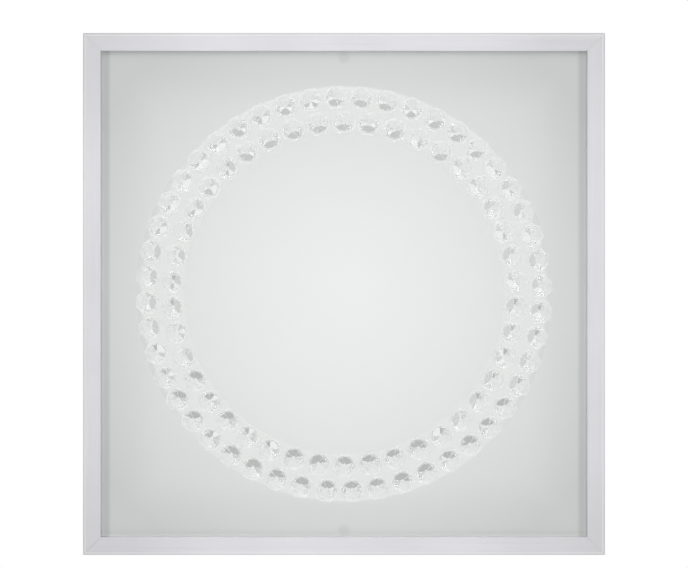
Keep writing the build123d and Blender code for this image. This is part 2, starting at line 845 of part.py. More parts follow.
def mains_wire(pole):
    """Wire from one pole of the terminal block into the driver's port."""
    start_x = (pole - (pole_count - 1) / 2) * pole_pitch
    end_x = (pole - 1 / 2) * mains_wire_spacing
    tube_end = wiring_y - tube_length / 2
    port = driver_offset_y + circuit_length / 2
    points = [(start_x, tube_end + wire_insertion, tube_level()),
              (start_x, tube_end - mains_wire_straight, tube_level()),
              (end_x, port + mains_wire_straight, -wire_drop),
              (end_x, port - wire_insertion, -wire_drop)]
    return wire(points, [mains_wire_bend] * 2, mains_wire_radius)


def earth_wire():
    """Wire from the last pole round to the barrel of the ring terminal."""
    pole_x = (pole_count - 1) / 2 * pole_pitch
    tube_end = wiring_y - tube_length / 2
    lug_z = -pan_sheet - earth_washer_thickness - lug_barrel_radius
    barrel_end = wiring_y - earth_washer_radius - lug_neck - lug_barrel_length
    loop_y = min(tube_end, barrel_end) - earth_loop
    points = [(pole_x, tube_end + wire_insertion, tube_level()), (pole_x, loop_y, tube_level()),
              (earth_x, loop_y, lug_z), (earth_x, barrel_end + lug_barrel_length / 2, lug_z)]
    return wire(points, [earth_wire_bend] * 2, mains_wire_radius)


def led_lead(x):
    """Lead from the driver's port through the tray's grommet and back to the connector on the board."""
    start_y = driver_offset_y - circuit_length / 2 + wire_insertion
    end_y = connector_y() + connector_port_depth - hole_clearance
    points = [(x, start_y, -wire_drop), (x, tray_hole_y, -wire_drop),
              (x, tray_hole_y, connector_z()), (x, end_y, connector_z())]
    return wire(points, [led_wire_bend] * 2, led_wire_radius)


def build_frame():
    """The cover: rails, keys, glass and what holds it."""
    names = ("front", "right", "back", "left")
    for turns, name in enumerate(names):
        rail = frame_rail(turns)
        if name in ("front", "back"):
            rail -= [Rot(0, 0, 90 * turns) * hole for hole in block_screw_holes()]
        save(f"frame_rail_{name}", rail)
    corners = ("back_right", "back_left", "front_left", "front_right")
    for turns, name in enumerate(corners):
        save(f"corner_key_{name}", Rot(0, 0, 90 * turns) * corner_key())
    save("corner_key_screws", *[Rot(0, 0, 90 * turns) * screw for turns in range(4) for screw in set_screws()])
    save("glass_pane", glass_pane())
    save("glass_gasket", glass_gasket())
    save("glazing_bead_right", glazing_bead(1))
    save("glazing_bead_left", glazing_bead(-1))


def build_crystals():
    """The two rows of crystals and the band under them."""
    save("crystal_band", crystal_band())
    save("crystals_outer_row", *crystal_row(outer_row_radius, outer_row_start))
    save("crystals_inner_row", *crystal_row(inner_row_radius, inner_row_start))


def build_clips():
    """The turn clips that lock the pane at the front and back."""
    for name, place in (("front", lambda shape: shape), ("back", half_turn)):
        save(f"clip_block_{name}", place(clip_block()))
        save(f"turn_clip_{name}", place(turn_clip()))
        save(f"turn_clip_screw_{name}", place(clip_screw()))
    save("clip_block_screws", *block_screws(), *[half_turn(screw) for screw in block_screws()])


def build_base():
    """The pan with its wiring parts and spring clips."""
    save("base_pan", base_pan())
    save("cable_grommet", cable_grommet())
    save("spring_clips", *on_both_walls(spring_strip()))
    save("spring_clip_rivets", *on_both_walls(rivet()))
    save("terminal_block", terminal_block())
    save("terminal_tubes", *terminal_tubes())
    save("terminal_clamp_screws", *clamp_screws())
    fixing = pan_head_screw(-pan_sheet - block_base_height, block_base_height + pan_sheet)
    save("terminal_block_screws", *[place * fixing for place in block_screw_places()])
    save("earth_stud", earth_stud())
    save("earth_washer", earth_washer())
    save("earth_ring_terminal", earth_terminal())
    save("earth_nut", earth_nut())


def build_light_source():
    """The driver, the tray and the LED board."""
    save("driver_base", driver_base())
    save("driver_case", driver_case())
    save("driver_circuit_board", driver_circuit())
    save("driver_transformer", driver_transformer())
    save("driver_capacitors", *driver_capacitors())
    save("driver_input_terminal", driver_terminal(1, mains_wire_spacing, mains_wire_radius))
    save("driver_output_terminal", driver_terminal(-1, led_wire_spacing, led_wire_radius))
    save("driver_screws", *driver_screws())
    save("tray_pillars", *tray_pillars())
    save("reflector_tray", reflector_tray())
    save("tray_screws", *tray_screws())
    save("tray_grommet", tray_grommet())
    save("led_board", led_board())
    save("led_board_screws", *board_screws())
    save("leds", *leds())
    save("led_connector", led_connector())


def build_wires():
    """The wires between the terminal block, the earth stud, the driver and the LED board."""
    save("wire_live", mains_wire(0))
    save("wire_neutral", mains_wire(1))
    save("wire_earth", earth_wire())
    minus, plus = led_wire_rows()
    save("led_lead_negative", led_lead(minus))
    save("led_lead_positive", led_lead(plus))


os.makedirs("parts", exist_ok=True)
build_frame()
build_crystals()
build_clips()
build_base()
build_light_source()
build_wires()
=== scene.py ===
"""Finishes, crystals, studio and camera of a square flush mount ceiling light.

Metres, with +Z up at the ceiling. The light hangs below z = 0 and its lit face looks down. In the main
picture the camera looks straight up at that face, with +X to the right and -Y upwards.
"""

import json
import logging
import math
from dataclasses import dataclass, replace
from enum import Enum
from functools import cached_property

import bpy
import numpy as np
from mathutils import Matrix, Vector


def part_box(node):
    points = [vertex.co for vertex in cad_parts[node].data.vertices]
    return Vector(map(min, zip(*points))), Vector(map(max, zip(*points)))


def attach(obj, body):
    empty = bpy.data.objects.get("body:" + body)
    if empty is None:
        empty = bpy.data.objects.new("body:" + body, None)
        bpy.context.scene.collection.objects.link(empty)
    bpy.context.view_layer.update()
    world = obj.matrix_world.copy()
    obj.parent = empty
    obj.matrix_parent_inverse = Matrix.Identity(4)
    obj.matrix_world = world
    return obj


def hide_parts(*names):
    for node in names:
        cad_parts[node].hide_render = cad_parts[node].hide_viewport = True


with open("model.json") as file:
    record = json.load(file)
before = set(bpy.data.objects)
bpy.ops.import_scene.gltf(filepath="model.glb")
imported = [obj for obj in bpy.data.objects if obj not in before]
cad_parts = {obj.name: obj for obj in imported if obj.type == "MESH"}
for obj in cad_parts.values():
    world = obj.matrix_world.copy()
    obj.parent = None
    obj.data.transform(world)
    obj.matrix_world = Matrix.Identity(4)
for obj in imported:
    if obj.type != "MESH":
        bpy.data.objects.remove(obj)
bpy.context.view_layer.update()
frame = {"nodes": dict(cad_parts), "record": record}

LOG = logging.getLogger("ceiling_light")
Socket = bpy.types.NodeSocket
Colour = tuple[float, float, float]
Point = tuple[float, float, float]
Range = tuple[float, float]
MM = 0.001
BLACK = (0.0, 0.0, 0.0)
WHITE = (1.0, 1.0, 1.0)
MADE: dict[str, bpy.types.Material] = {}


class Direction(Enum):
    """The axis that brushing or drawing marks run along."""

    X = 0
    Y = 1
    Z = 2


# Materials


class Graph:
    """The node tree of one material or world, with short ways to add and join nodes."""

    def __init__(self, owner: bpy.types.ID, output: str = "ShaderNodeOutputMaterial") -> None:
        """Start a tree that has only its output.

        Args:
            owner: the new material or world.
            output: Blender's name of its output node.
        """
        self.owner = owner
        owner.use_nodes = True
        self.tree = owner.node_tree
        self.tree.nodes.clear()
        self.output = self.node(output)

    @cached_property
    def place(self) -> Socket:
        """The Object coordinates."""
        return self.node("ShaderNodeTexCoord").outputs["Object"]

    def node(self, kind: str, inputs: dict[str | int, object] | None = None,
             **settings: object) -> bpy.types.Node:
        """Add a node.

        Args:
            kind: Blender's name of the node type.
            inputs: a socket to link from, or a value, for each input named or numbered.
            settings: properties of the node itself.

        Returns:
            The new node.
        """
        made = self.tree.nodes.new(kind)
        for key, value in settings.items():
            setattr(made, key, value)
        for key, value in (inputs or {}).items():
            if isinstance(value, Socket):
                self.tree.links.new(value, made.inputs[key])
            else:
                made.inputs[key].default_value = value
        return made

    def math(self, operation: str, *values: object) -> Socket:
        """Join one to three sockets or numbers with a Math operation and return the result."""
        made = self.node("ShaderNodeMath", dict(enumerate(values)), operation=operation)
        return made.outputs[0]

    def axes(self) -> tuple[Socket, ...]:
        """The x, y and z of the Object coordinates."""
        return tuple(self.node("ShaderNodeSeparateXYZ", {0: self.place}).outputs)

    def distance(self, x: Socket, y: Socket) -> Socket:
        """How far a place is from the origin of two coordinates."""
        squares = self.math("ADD", self.math("MULTIPLY", x, x), self.math("MULTIPLY", y, y))
        return self.math("SQRT", squares)

    def noise(self, scale: float | Point, detail: float = 2.0, roughness: float = 0.5,
              distortion: float = 0.0) -> Socket:
        """Noise on the Object coordinates.

        Args:
            scale: features a metre, one number or one for each axis.
            detail: octaves of finer noise.
            roughness: strength of the finer octaves.
            distortion: how far the noise bends itself.

        Returns:
            A factor around 0.5.
        """
        stretch = scale if isinstance(scale, tuple) else (scale,) * 3
        place = self.node("ShaderNodeMapping", {"Vector": self.place, "Scale": stretch}).outputs[0]
        made = self.node("ShaderNodeTexNoise", {"Vector": place, "Scale": 1.0, "Detail": detail,
                                                "Roughness": roughness, "Distortion": distortion})
        return made.outputs["Fac"]

    def spread(self, factor: Socket, low: float, high: float, start: float = 0.0, end: float = 1.0,
               smooth: bool = False) -> Socket:
        """Map a factor from the range start to end onto the range low to high, clamped."""
        made = self.node("ShaderNodeMapRange", {0: factor, 1: start, 2: end, 3: low, 4: high},
                         interpolation_type="SMOOTHSTEP" if smooth else "LINEAR")
        return made.outputs[0]

    def swing(self, noise: Socket, low: float = 0.0, high: float = 1.0) -> Socket:
        """Map a noise, which mostly keeps between 0.3 and 0.7, onto the range low to high."""
        return self.spread(noise, low, high, 0.3, 0.7)

    def blend(self, factor: Socket, first: object, second: object) -> Socket:
        """Mix two colours, given as sockets or as red, green and blue, by a factor."""
        made = self.node("ShaderNodeMix", data_type="RGBA")
        # The colours of a Mix node are its inputs 6 and 7 and its output 2.
        for socket, value in ((made.inputs[0], factor), (made.inputs[6], first), (made.inputs[7], second)):
            if isinstance(value, Socket):
                self.tree.links.new(value, socket)
            else:
                socket.default_value = (*value, 1.0)
        return made.outputs[2]

    def bump(self, height: Socket, depth: float) -> Socket:
        """Relief of a depth in metres that follows a height factor."""
        return self.node("ShaderNodeBump", {"Height": height, "Distance": depth, "Strength": 1.0}).outputs[0]

    def principled(self, inputs: dict[str, object]) -> Socket:
        """A Principled shader with the inputs given; colours are red, green and blue."""
        full = {key: (*value, 1.0) if isinstance(value, tuple) and len(value) == 3 else value
                for key, value in inputs.items()}
        return self.node("ShaderNodeBsdfPrincipled", full).outputs[0]

    def emission(self, colour: Colour, strength: float, kind: str = "ShaderNodeEmission") -> Socket:
        """A shader that gives out light: an emission, or another kind with the same two inputs."""
        return self.node(kind, {"Color": (*colour, 1.0), "Strength": strength}).outputs[0]

    def mix(self, factor: Socket, first: Socket, second: Socket) -> Socket:
        """Mix two shaders by a factor."""
        return self.node("ShaderNodeMixShader", {0: factor, 1: first, 2: second}).outputs[0]

    def surface(self, shader: Socket) -> bpy.types.ID:
        """Put a shader on the surface and return the material or world."""
        self.tree.links.new(shader, self.output.inputs["Surface"])
        return self.owner


def shade(colour: Colour, by: float) -> Colour:
    """The colour made lighter or darker, each channel kept below 1."""
    return tuple(min(1.0, channel * by) for channel in colour)


@dataclass(frozen=True)
class Finish:
    """A surface finish: its name, its colour and its mean roughness.

    Fields of the finishes that are named after a noise are its scale, in features a metre.
    """

    name: str
    colour: Colour
    roughness: float

    def material(self) -> bpy.types.Material:
        """The finish as a material, made once and shared."""
        if self.name not in MADE:
            MADE[self.name] = self.build(Graph(bpy.data.materials.new(self.name)))
        return MADE[self.name]

    def build(self, graph: Graph) -> bpy.types.Material:
        """Make the node tree.

        Args:
            graph: the empty tree.

        Returns:
            The finished material.
        """
        raise NotImplementedError


@dataclass(frozen=True)
class Uneven(Finish):
    """A finish whose colour and gloss follow a noise.

    The tones multiply its colour where the noise is low and where it is high. The gloss is how far its
    roughness goes below and above the mean.
    """

    tones: Range = (0.95, 1.05)
    gloss: Range = (0.06, 0.06)

    def tint(self, graph: Graph, noise: Socket) -> Socket:
        """The colour, darker where a noise is low and lighter where it is high."""
        dark, light = self.tones
        return graph.blend(graph.swing(noise), shade(self.colour, dark), shade(self.colour, light))

    def rough(self, graph: Graph, noise: Socket) -> Socket:
        """The roughness, less where a noise is low and more where it is high."""
        less, more = self.gloss
        return graph.swing(noise, self.roughness - less, self.roughness + more)


@dataclass(frozen=True)
class BrushedMetal(Uneven):
    """Metal with fine lines along one axis, and broad faint clouds from handling.

    The lines are line_length times as long as they are wide. With an end_shade it is a rail of the frame,
    which has painted light and shade besides: a painted shade towards its ends and along the very edge of its
    front, and a painted highlight line just inside that edge, given as ranges of the distance from the middle and
    of z.
    """

    along: Direction = Direction.X
    lines: float = 2600.0
    line_length: float = 160.0
    line_depth: float = 0.006 * MM
    clouds: float = 22.0
    end_shade: float = 0.0
    end_reach: Range = (60 * MM, 140 * MM)
    front_z: Range = (-55.25 * MM, -54.95 * MM)
    shaded_line: Range = (144.0 * MM, 144.25 * MM)
    dull_shade: float = 0.19
    highlight_line: Range = (143.35 * MM, 143.55 * MM)
    bright_gleam: float = 0.30

    def build(self, graph: Graph) -> bpy.types.Material:
        """Lines stretched along the brushing set the colour, the roughness and the relief."""
        scale = [self.lines] * 3
        scale[self.along.value] = self.lines / self.line_length
        lines = graph.noise(tuple(scale), detail=3.0, roughness=0.65)
        clouds = graph.noise(self.clouds, detail=3.0)
        mixed = graph.math("MULTIPLY_ADD", clouds, 0.5, graph.math("MULTIPLY", lines, 0.5))
        colour = self.tint(graph, mixed)
        if self.end_shade:
            colour = self.rail(graph, colour)
        return graph.surface(graph.principled({
            "Base Color": colour, "Metallic": 1.0, "Roughness": self.rough(graph, lines),
            "Normal": graph.bump(lines, self.line_depth)}))

    def rail(self, graph: Graph, colour: Socket) -> Socket:
        """The colour on a rail: a painted shade towards the ends, and two painted lines along the outer edge of
        its front.

        Args:
            graph: the material's tree.
            colour: the colour of the plain metal.

        Returns:
            The colour with a painted shade line at the very edge and a painted highlight line inside it.
        """
        axes = x, y, z = graph.axes()
        # Painted shade: darker towards the ends of the rail.
        reach = graph.math("ABSOLUTE", axes[self.along.value])
        ends = graph.spread(reach, 0.0, self.end_shade, *self.end_reach, smooth=True)
        colour = graph.blend(ends, colour, BLACK)
        # Painted shade along the very edge of the front, and a painted highlight line just inside it.
        rim = graph.math("MAXIMUM", graph.math("ABSOLUTE", x), graph.math("ABSOLUTE", y))
        front = graph.spread(z, 1.0, 0.0, *self.front_z)
        shaded = graph.spread(rim, 0.0, 1.0, *self.shaded_line)
        highlight = graph.math("SUBTRACT", graph.spread(rim, 0.0, 1.0, *self.highlight_line), shaded)
        for line, by, tone in ((shaded, self.dull_shade, BLACK), (highlight, self.bright_gleam, WHITE)):
            share = graph.math("MULTIPLY", graph.math("MULTIPLY", line, front), by)
            colour = graph.blend(share, colour, tone)
        return colour


@dataclass(frozen=True)
class PlatedMetal(Uneven):
    """Turned or plated metal of small parts, with faint mottling by a film film_size times as coarse."""

    tones: Range = (0.9, 1.06)
    gloss: Range = (0.08, 0.08)
    grain: float = 1400.0
    grain_depth: float = 0.008 * MM
    film_size: float = 12.0

    def build(self, graph: Graph) -> bpy.types.Material:
        """Grain at the size of plating crystals sets the gloss and the relief; a coarser film, the colour."""
        grain = graph.noise(self.grain, detail=4.0, roughness=0.6)
        film = graph.noise(self.grain / self.film_size, detail=2.0)
        return graph.surface(graph.principled({
            "Base Color": self.tint(graph, film), "Metallic": 1.0, "Roughness": self.rough(graph, grain),
            "Normal": graph.bump(grain, self.grain_depth)}))


@dataclass(frozen=True)
class PowderCoat(Uneven):
    """Stoved paint on sheet steel, with the slight orange peel of powder."""

    tones: Range = (0.975, 1.02)
    gloss: Range = (0.04, 0.05)
    peel: float = 620.0
    peel_depth: float = 0.03 * MM
    cloud: float = 14.0

    def build(self, graph: Graph) -> bpy.types.Material:
        """Peel gives the relief, and a broad cloud the small changes of colour and gloss."""
        peel = graph.noise(self.peel, detail=2.0, roughness=0.4)
        cloud = graph.noise(self.cloud, detail=3.0)
        return graph.surface(graph.principled({
            "Base Color": self.tint(graph, cloud), "Roughness": self.rough(graph, cloud), "IOR": 1.5,
            "Normal": graph.bump(peel, self.peel_depth)}))


@dataclass(frozen=True)
class Moulding(Uneven):
    """Moulded plastic or rubber with a fine spark-eroded texture."""

    grain: float = 2400.0
    grain_depth: float = 0.012 * MM
    flow: Point = (40.0, 90.0, 60.0)

    def build(self, graph: Graph) -> bpy.types.Material:
        """A fine grain gives the relief and the gloss, and slow flow marks the change of colour."""
        grain = graph.noise(self.grain, detail=3.0, roughness=0.6)
        flow = graph.noise(self.flow, detail=2.0, distortion=0.6)
        return graph.surface(graph.principled({
            "Base Color": self.tint(graph, flow), "Roughness": self.rough(graph, grain), "IOR": 1.48,
            "Normal": graph.bump(grain, self.grain_depth)}))


@dataclass(frozen=True)
class FrostedGlass(Finish):
    """Etched white pane, with painted light and shade: lightest in its middle with a painted shade to the corners
    and edges, a painted light along the edge towards +Y, and painted shadows of what lies behind.

    Its ranges are distances from the middle along x or y, and for a spot from the spot's own middle.
    """

    corner_fall: float = 0.28
    fall_radius: float = 166 * MM
    fall_power: float = 1.6
    edge_fall: float = 0.05
    edge_reach: Range = (100 * MM, 124 * MM)
    lit_edge: float = 0.45
    lit_reach: Range = (132.4 * MM, 134.6 * MM)
    strip_shade: float = 0.17
    strip_start: Range = (129.6 * MM, 131.4 * MM)
    strip_end: Range = (132.6 * MM, 134.8 * MM)
    spot_shade: float = 0.10
    spot_y: float = 131.5 * MM
    spot_reach: Range = (1.4 * MM, 4.6 * MM)
    shadow: Colour = (0.0, 0.03, 0.04)
    transmission: float = 0.12
    clouds: float = 9.0
    cloud_share: float = 0.10
    etching: float = 5200.0
    etching_depth: float = 0.004 * MM

    def build(self, graph: Graph) -> bpy.types.Material:
        """The white of the pane with its painted light and shade, and the painted shadows of what lies behind it;
        the etching is a very fine relief.
        """
        x, y, _ = graph.axes()
        away, along = graph.math("ABSOLUTE", x), graph.math("ABSOLUTE", y)
        # Painted shadows of the glazing beads and the turn clips behind the pane.
        marks = self.marks(graph, x, away, graph.math("SUBTRACT", along, self.spot_y))
        shaded = graph.blend(marks, self.white(graph, x, y, graph.math("MAXIMUM", away, along)), self.shadow)
        etching = graph.noise(self.etching, detail=2.0)
        return graph.surface(graph.principled({
            "Base Color": shaded, "Roughness": self.roughness, "IOR": 1.5, "Transmission Weight": self.transmission,
            "Normal": graph.bump(etching, self.etching_depth)}))

    def white(self, graph: Graph, x: Socket, y: Socket, reach: Socket) -> Socket:
        """The colour without the painted shadows: a painted shade that falls as a power of the distance from the
        middle, a little unevenly.

        Args:
            graph: the material's tree.
            x: the coordinate to the right.
            y: the coordinate downwards in the picture.
            reach: the larger of the two without its sign.

        Returns:
            The colour, with a painted shade along all four edges and a painted light on the one towards +Y.
        """
        # Painted shade: darker with the distance from the middle.
        fall = graph.math("POWER", graph.math("DIVIDE", graph.distance(x, y), self.fall_radius), self.fall_power)
        clouds = graph.math("SUBTRACT", graph.noise(self.clouds, detail=3.0), 0.5)
        fall = graph.math("MULTIPLY_ADD", clouds, self.cloud_share, fall)
        # Painted shade along the edges, and painted light along the edge towards +Y.
        edge = graph.spread(reach, 0.0, self.edge_fall, *self.edge_reach, smooth=True)
        lit = graph.spread(y, 0.0, self.lit_edge, *self.lit_reach, smooth=True)
        colour = graph.blend(fall, self.colour, shade(self.colour, 1 - self.corner_fall))
        return graph.blend(lit, graph.blend(edge, colour, BLACK), WHITE)

    def marks(self, graph: Graph, x: Socket, away: Socket, across: Socket) -> Socket:
        """The painted shadow where the glazing beads and the turn clips lie behind the pane.

        Args:
            graph: the material's tree.
            x: the coordinate to the right.
            away: the same without its sign.
            across: how far a place is beyond the nearer clip, along y.

        Returns:
            The share of painted shadow, in a strip along the left and right edges and in a soft spot at each
            clip.
        """
        strip = graph.math("SUBTRACT",
                           graph.spread(away, 0.0, self.strip_shade, *self.strip_start, smooth=True),
                           graph.spread(away, 0.0, self.strip_shade, *self.strip_end, smooth=True))
        spot = graph.spread(graph.distance(x, across), self.spot_shade, 0.0, *self.spot_reach, smooth=True)
        return graph.math("ADD", strip, spot)


@dataclass(frozen=True)
class CutGlass(Finish):
    """Crystal: clear where it is polished, and partly white where it is ground."""

    index: float = 1.55
    clear: float = 1.0
    wave: float = 260.0
    wave_depth: float = 0.004 * MM

    def build(self, graph: Graph) -> bpy.types.Material:
        """Facets are flat faces of the mesh; the polish leaves a very slight wave in them."""
        wave = graph.noise(self.wave, detail=1.0)
        return graph.surface(graph.principled({
            "Base Color": self.colour, "Roughness": self.roughness, "IOR": self.index,
            "Transmission Weight": self.clear, "Normal": graph.bump(wave, self.wave_depth)}))


@dataclass(frozen=True)
class MilkyBand(Finish):
    """White film of adhesive under the crystals, with a painted light along the outer side of each row and a
    painted shade along the inner side, which show through the crystals as bright and dark facets.

    The whiteness is a list of radii in millimetres, each with a factor on the colour, above 1 for painted light
    and below 1 for painted shade. Reach and side_rim are ranges of the radius, and side_share is one of x over
    the radius.
    """

    reach: Range = (88 * MM, 118 * MM)
    whiteness: tuple[Range, ...] = (
        (88.7, 0.91), (92.0, 0.92), (95.5, 0.97), (98.5, 1.06), (102.0, 1.03), (105.0, 0.92), (109.0, 0.97),
        (112.0, 1.10), (115.6, 1.03))
    side_shade: float = 0.11
    side_rim: Range = (110 * MM, 114.5 * MM)
    side_share: Range = (0.6, 0.95)
    film: float = 160.0
    film_colour: Colour = (0.6, 0.6, 0.6)
    film_share: float = 0.10
    film_depth: float = 0.02 * MM

    def build(self, graph: Graph) -> bpy.types.Material:
        """A ramp over the distance from the middle gives the painted light and shade of the rows, and a film of
        uneven thickness the rest.

        A painted shade darkens the rim a little on the left and on the right.
        """
        x, y, _ = graph.axes()
        radius = graph.distance(x, y)
        # Painted light and shade of the rows, by the distance from the middle.
        ramp = graph.node("ShaderNodeValToRGB", {0: graph.spread(radius, 0.0, 1.0, *self.reach)})
        stops = ramp.color_ramp.elements
        stops.remove(stops[0])
        inner, outer = self.reach
        for index, (place, white) in enumerate(self.whiteness):
            stop = stops[0] if index == 0 else stops.new(0.0)
            stop.position = (place * MM - inner) / (outer - inner)
            stop.color = (*shade(self.colour, white), 1.0)
        # Painted shade on the rim at the left and the right.
        beside = graph.math("DIVIDE", graph.math("ABSOLUTE", x), radius)
        side = graph.spread(beside, 0.0, 1.0, *self.side_share, smooth=True)
        rim = graph.spread(radius, 0.0, self.side_shade, *self.side_rim, smooth=True)
        film = graph.noise(self.film, detail=3.0)
        colour = graph.blend(graph.swing(film, 0.0, self.film_share), ramp.outputs[0], self.film_colour)
        colour = graph.blend(graph.math("MULTIPLY", side, rim), colour, BLACK)
        return graph.surface(graph.principled({
            "Base Color": colour, "Roughness": self.roughness, "IOR": 1.45,
            "Normal": graph.bump(film, self.film_depth)}))


@dataclass(frozen=True)
class Insulation(Uneven):
    """Drawn wire insulation, plain or with a second colour in stripes."""

    tones: Range = (0.9, 1.1)
    gloss: Range = (0.05, 0.08)
    marks: Point = (900.0, 60.0, 900.0)
    stripe: Colour | None = None
    stripe_pitch: float = 2.2 * MM
    stripe_edge: Range = (0.2, 0.4)

    def build(self, graph: Graph) -> bpy.types.Material:
        """Drawing marks vary the colour and the gloss; the stripes are the crests of a wave along x."""
        marks = graph.noise(self.marks, detail=2.0)
        colour = self.tint(graph, marks)
        if self.stripe:
            x, _, _ = graph.axes()
            wave = graph.math("SINE", graph.math("MULTIPLY", x, 2 * math.pi / self.stripe_pitch))
            colour = graph.blend(graph.spread(wave, 0.0, 1.0, *self.stripe_edge), colour, self.stripe)
        return graph.surface(graph.principled({
            "Base Color": colour, "Roughness": self.rough(graph, marks), "IOR": 1.5}))


@dataclass(frozen=True)
class SolderMask(Finish):
    """Printed board: mask over copper tracks that show as faint raised bars."""

    track_pitch: float = 5.0 * MM
    track_depth: float = 0.035 * MM
    bare_tone: float = 0.86
    weave: float = 900.0
    weave_share: float = 0.15

    def build(self, graph: Graph) -> bpy.types.Material:
        """Rows of bars of uneven length stand for the tracks, in relief and a little lighter."""
        place = graph.node("ShaderNodeMapping", {"Vector": graph.place, "Scale": (1 / self.track_pitch,) * 3})
        tracks = graph.node("ShaderNodeTexBrick", {
            "Vector": place.outputs[0], "Scale": 0.5, "Mortar Size": 0.04, "Bias": 0.0,
            "Brick Width": 2.6, "Row Height": 0.5}, offset=0.37, squash=0.7)
        lift = graph.math("SUBTRACT", 1.0, tracks.outputs["Fac"])
        weave = graph.noise(self.weave, detail=1.0)
        colour = graph.blend(lift, shade(self.colour, self.bare_tone), self.colour)
        height = graph.math("MULTIPLY_ADD", weave, self.weave_share, lift)
        return graph.surface(graph.principled({
            "Base Color": colour, "Roughness": self.roughness, "IOR": 1.5,
            "Normal": graph.bump(height, self.track_depth)}))


@dataclass(frozen=True)
class TapedWinding(Finish):
    """Yellow tape wound in overlapping turns round a coil."""

    turn: float = 1.6 * MM
    turn_depth: float = 0.05 * MM
    edge_width: float = 0.12
    edge_tone: float = 0.62
    wrinkle: Point = (120.0, 120.0, 700.0)
    wrinkle_share: float = 0.3

    def build(self, graph: Graph) -> bpy.types.Material:
        """Each turn is a step that repeats with height, darker at its edge."""
        _, _, z = graph.axes()
        step = graph.math("FRACT", graph.math("DIVIDE", z, self.turn))
        edge = graph.spread(step, 1.0, 0.0, 0.0, self.edge_width)
        wrinkle = graph.noise(self.wrinkle, detail=2.0)
        colour = graph.blend(edge, self.colour, shade(self.colour, self.edge_tone))
        height = graph.math("MULTIPLY_ADD", wrinkle, self.wrinkle_share, step)
        return graph.surface(graph.principled({
            "Base Color": colour, "Roughness": self.roughness, "IOR": 1.5,
            "Normal": graph.bump(height, self.turn_depth)}))


# The rails' finish carries a painted shade towards their ends and painted shade and highlight lines along the
# front's edge.
SATIN_X = BrushedMetal("satin_aluminium_x", (0.80, 0.795, 0.825), 0.34, along=Direction.X, end_shade=0.125)
SATIN_Y = replace(SATIN_X, name="satin_aluminium_y", along=Direction.Y)
GROUND_GLASS = CutGlass("ground_glass", (0.87, 0.88, 0.875), 0.41, clear=0.75)
FINISHES: dict[str, Finish] = {"satin_aluminium": SATIN_X} | {finish.name: finish for finish in (
    BrushedMetal("plain_aluminium", (0.62, 0.62, 0.64), 0.42, along=Direction.Y, tones=(0.92, 1.08)),
    FrostedGlass("frosted_glass", (0.86, 0.885, 0.87), 0.45),
    CutGlass("crystal_glass", (0.99, 0.995, 0.995), 0.0),
    MilkyBand("clear_band", (0.69, 0.705, 0.695), 0.35),
    PowderCoat("white_enamel", (0.84, 0.84, 0.83), 0.38),
    BrushedMetal("spring_steel", (0.60, 0.60, 0.62), 0.28, along=Direction.Z, tones=(0.9, 1.1)),
    PlatedMetal("zinc_steel", (0.66, 0.67, 0.70), 0.30),
    PlatedMetal("black_steel", (0.10, 0.10, 0.11), 0.42),
    PlatedMetal("brass", (0.78, 0.58, 0.26), 0.28),
    Moulding("grey_rubber", (0.16, 0.16, 0.17), 0.62, tones=(0.88, 1.12), grain_depth=0.02 * MM),
    Moulding("white_silicone", (0.80, 0.81, 0.80), 0.50),
    Moulding("white_plastic", (0.84, 0.84, 0.81), 0.42),
    Moulding("clear_white_plastic", (0.80, 0.80, 0.76), 0.24),
    SolderMask("green_laminate", (0.05, 0.26, 0.11), 0.30),
    SolderMask("white_mask", (0.86, 0.86, 0.85), 0.34, track_pitch=9.0 * MM),
    TapedWinding("yellow_tape", (0.80, 0.60, 0.10), 0.32),
    Moulding("black_sleeve", (0.035, 0.035, 0.045), 0.22),
    Moulding("led_phosphor", (0.88, 0.72, 0.22), 0.30),
    Insulation("brown_wire", (0.24, 0.10, 0.045), 0.34),
    Insulation("blue_wire", (0.05, 0.16, 0.52), 0.34),
    Insulation("earth_wire", (0.10, 0.42, 0.08), 0.34, stripe=(0.85, 0.72, 0.06)),
    Insulation("red_wire", (0.58, 0.03, 0.025), 0.34),
    Insulation("black_wire", (0.02, 0.02, 0.024), 0.34))}


# Pieces


def dress(node: str, finish: Finish) -> None:
    """Give a CAD node's object a finish in place of what it came with."""
    slots = frame["nodes"][node].data.materials
    slots.clear()
    slots.append(finish.material())


def add_piece(name: str, points: np.ndarray, faces: list[list[int]]) -> bpy.types.Object:
    """Make a piece from points in the light's own frame.

    Args:
        name: the piece's name.
        points: one row of x, y and z for each vertex, in metres.
        faces: the vertices of each face, anticlockwise from outside.

    Returns:
        The new object, at the origin.
    """
    mesh = bpy.data.meshes.new(name)
    mesh.from_pydata(points.tolist(), [], faces)
    mesh.update()
    piece = bpy.data.objects.new(name, mesh)
    bpy.context.scene.collection.objects.link(piece)
    return piece


@dataclass
class Rails:
    """The four mitred rails of the frame, brushed along their length."""

    along_x: tuple[str, ...] = ("frame_rail_front", "frame_rail_back")
    along_y: tuple[str, ...] = ("frame_rail_left", "frame_rail_right")

    def build(self) -> None:
        """Dress each rail with the brushing that runs its own way."""
        for names, finish in ((self.along_x, SATIN_X), (self.along_y, SATIN_Y)):
            for name in names:
                dress(name, finish)
                LOG.info("dressed %s", name)


def turns(angles: np.ndarray, axis: int) -> np.ndarray:
    """Matrices of turns about x, y or z, given as 0, 1 or 2: one 3 by 3 matrix for each angle in radians.

    The axis keeps its coordinate. Of the other two, taken in order, the first becomes cos a times itself less
    sin a times the second, and the second becomes sin a times the first plus cos a times itself.
    """
    first, second = (axis + 1) % 3, (axis + 2) % 3
    matrices = np.tile(np.eye(3), (len(angles), 1, 1))
    matrices[:, first, first] = matrices[:, second, second] = np.cos(angles)
    matrices[:, first, second], matrices[:, second, first] = -np.sin(angles), np.sin(angles)
    return matrices


